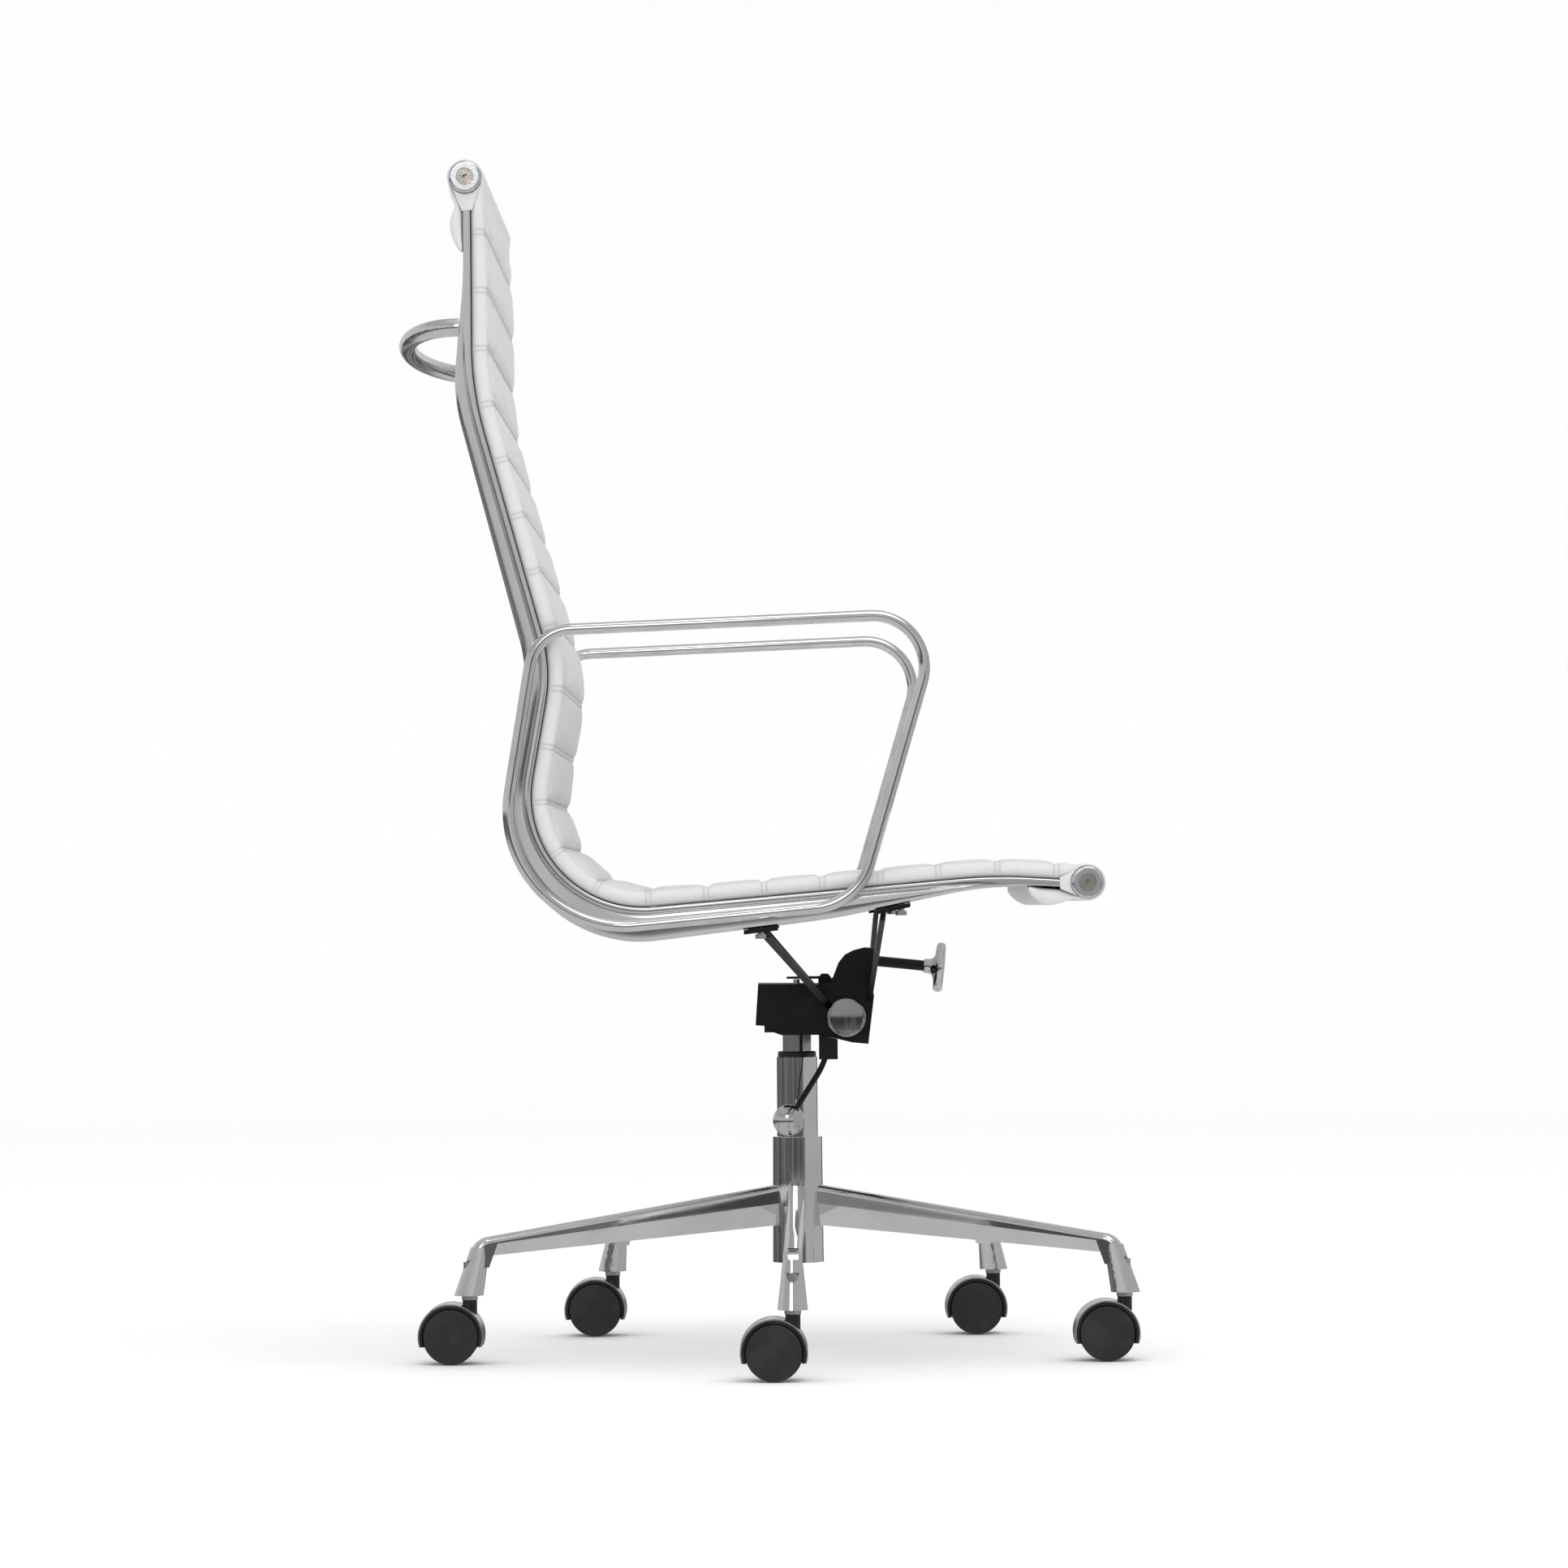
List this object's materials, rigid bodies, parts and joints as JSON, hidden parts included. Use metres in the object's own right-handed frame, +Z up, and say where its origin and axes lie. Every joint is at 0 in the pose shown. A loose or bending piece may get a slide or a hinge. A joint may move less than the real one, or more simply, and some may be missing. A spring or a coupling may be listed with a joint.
{
  "type": "swivel office chair",
  "caption": "High-back swivel office chair: channelled leather sling between cast side rails, loop arms, arched back handle, tilt mechanism, gas lift and star base on casters.",
  "frame": {"origin": "point on the floor under the swivel axis", "axes": "+Z up, -Y towards the front of the chair, +X towards the sitter's left"},
  "size_m": [0.6099, 0.6662, 1.0675],
  "materials": {
    "polished_aluminium": "polished",
    "chrome_rod": "polished",
    "bright_chrome": "mirror",
    "cast_chrome": "polished and chromed",
    "satin_cap": "satin",
    "zinc_screw": "satin",
    "steel_bar": "satin",
    "cylinder_steel": "dark ground",
    "black_steel": "satin black",
    "white_leather": "soft grain",
    "backing_cloth": "woven",
    "rubber_buffer": "matte",
    "black_plastic": "satin",
    "wheel_plastic": "fine grain",
    "silver_cover": "silver, metallised"
  },
  "bodies": {
    "base": {"star_base": "cast_chrome", "column_tube": "bright_chrome", "column_bushing": "black_plastic", "column_collar": "black_plastic", "retaining_clip": "steel_bar", "thrust_bearing": "steel_bar"},
    "lift_rod": {"piston_rod": "steel_bar", "rod_buffer": "rubber_buffer"},
    "carriage": {"gas_cylinder": "cylinder_steel", "tilt_housing": "black_steel", "lever_bracket": "black_steel"},
    "pin": {"valve_pin": "steel_bar"},
    "blade": {"actuator_blade": "black_steel"},
    "lever": {"lever_rod": "black_steel", "lever_ball": "bright_chrome"},
    "seat_frame": {"rail_right": "polished_aluminium", "rail_left": "polished_aluminium", "arm_right": "chrome_rod", "arm_left": "chrome_rod", "back_handle": "chrome_rod", "arm_screws": "zinc_screw", "end_caps": "satin_cap", "cap_screws": "zinc_screw", "top_bar": "steel_bar", "front_bar": "steel_bar", "sling": "white_leather", "sling_membrane": "backing_cloth", "tilt_yoke": "black_steel", "rear_struts": "black_steel", "front_struts": "black_steel", "pivot_tube": "steel_bar", "pivot_caps": "bright_chrome", "frame_bolts": "zinc_screw"},
    "tension_screw": {"tension_bolt": "black_steel", "tension_knob": "bright_chrome"},
    "caster_1": {"caster_1_stem": "steel_bar", "caster_1_hood": "black_plastic", "caster_1_cover": "silver_cover", "caster_1_axle": "steel_bar"},
    "caster_1_wheel_pair": {"caster_1_wheels": "wheel_plastic"},
    "caster_2": {"caster_2_stem": "steel_bar", "caster_2_hood": "black_plastic", "caster_2_cover": "silver_cover", "caster_2_axle": "steel_bar"},
    "caster_2_wheel_pair": {"caster_2_wheels": "wheel_plastic"},
    "caster_3": {"caster_3_stem": "steel_bar", "caster_3_hood": "black_plastic", "caster_3_cover": "silver_cover", "caster_3_axle": "steel_bar"},
    "caster_3_wheel_pair": {"caster_3_wheels": "wheel_plastic"},
    "caster_4": {"caster_4_stem": "steel_bar", "caster_4_hood": "black_plastic", "caster_4_cover": "silver_cover", "caster_4_axle": "steel_bar"},
    "caster_4_wheel_pair": {"caster_4_wheels": "wheel_plastic"},
    "caster_5": {"caster_5_stem": "steel_bar", "caster_5_hood": "black_plastic", "caster_5_cover": "silver_cover", "caster_5_axle": "steel_bar"},
    "caster_5_wheel_pair": {"caster_5_wheels": "wheel_plastic"}
  },
  "joints": [
    {"name": "seat_swivel", "type": "hinge", "parent": "base", "child": "lift_rod", "pos_m": [0, 0, 0.2], "axis": [0, 0, 1], "continuous": true},
    {"name": "seat_height", "type": "slide", "parent": "lift_rod", "child": "carriage", "axis": [0, 0, 1], "range_m": [0, 0.09]},
    {"name": "seat_tilt", "type": "hinge", "parent": "carriage", "child": "seat_frame", "pos_m": [0, -0.045, 0.3085], "axis": [-1, 0, 0], "range_deg": [0, 15], "stiffness_Nm_per_rad": 180, "springref_deg": -6.88},
    {"name": "tension_adjust", "type": "hinge", "parent": "seat_frame", "child": "tension_screw", "pos_m": [0, -0.058, 0.3604], "axis": [0, -0.9945, -0.1045], "continuous": true},
    {"name": "height_lever", "type": "hinge", "parent": "carriage", "child": "lever", "pos_m": [-0.05, -0.0285, 0.2795], "axis": [1, 0, 0], "range_deg": [0, 12], "stiffness_Nm_per_rad": 1.2, "springref_deg": -2.86},
    {"name": "blade_press", "type": "hinge", "parent": "carriage", "child": "blade", "pos_m": [0, -0.026, 0.3434], "axis": [-1, 0, 0], "range_deg": [0, 4.8]},
    {"name": "valve_press", "type": "slide", "parent": "carriage", "child": "pin", "axis": [0, 0, -1], "range_m": [0, 0.0022]},
    {"name": "caster_1_swivel", "type": "hinge", "parent": "base", "child": "caster_1", "pos_m": [-0.30995, 0.00541, 0.06], "axis": [0, 0, 1], "continuous": true},
    {"name": "caster_1_roll", "type": "hinge", "parent": "caster_1", "child": "caster_1_wheel_pair", "pos_m": [-0.30995, 0.02191, 0.025], "axis": [1, 0, 0], "continuous": true},
    {"name": "caster_2_swivel", "type": "hinge", "parent": "base", "child": "caster_2", "pos_m": [-0.10093, -0.29311, 0.06], "axis": [0, 0, 1], "continuous": true},
    {"name": "caster_2_roll", "type": "hinge", "parent": "caster_2", "child": "caster_2_wheel_pair", "pos_m": [-0.10093, -0.27661, 0.025], "axis": [1, 0, 0], "continuous": true},
    {"name": "caster_3_swivel", "type": "hinge", "parent": "base", "child": "caster_3", "pos_m": [0.24758, -0.18656, 0.06], "axis": [0, 0, 1], "continuous": true},
    {"name": "caster_3_roll", "type": "hinge", "parent": "caster_3", "child": "caster_3_wheel_pair", "pos_m": [0.24758, -0.17006, 0.025], "axis": [1, 0, 0], "continuous": true},
    {"name": "caster_4_swivel", "type": "hinge", "parent": "base", "child": "caster_4", "pos_m": [0.25394, 0.17781, 0.06], "axis": [0, 0, 1], "continuous": true},
    {"name": "caster_4_roll", "type": "hinge", "parent": "caster_4", "child": "caster_4_wheel_pair", "pos_m": [0.25394, 0.19431, 0.025], "axis": [1, 0, 0], "continuous": true},
    {"name": "caster_5_swivel", "type": "hinge", "parent": "base", "child": "caster_5", "pos_m": [-0.09063, 0.29645, 0.06], "axis": [0, 0, 1], "continuous": true},
    {"name": "caster_5_roll", "type": "hinge", "parent": "caster_5", "child": "caster_5_wheel_pair", "pos_m": [-0.09063, 0.31295, 0.025], "axis": [1, 0, 0], "continuous": true}
  ],
  "couplings": [
    {"joint": "blade_press", "follows": "height_lever", "ratio": 0.4},
    {"joint": "valve_press", "follows": "height_lever", "m_per_rad": 0.010504}
  ]
}
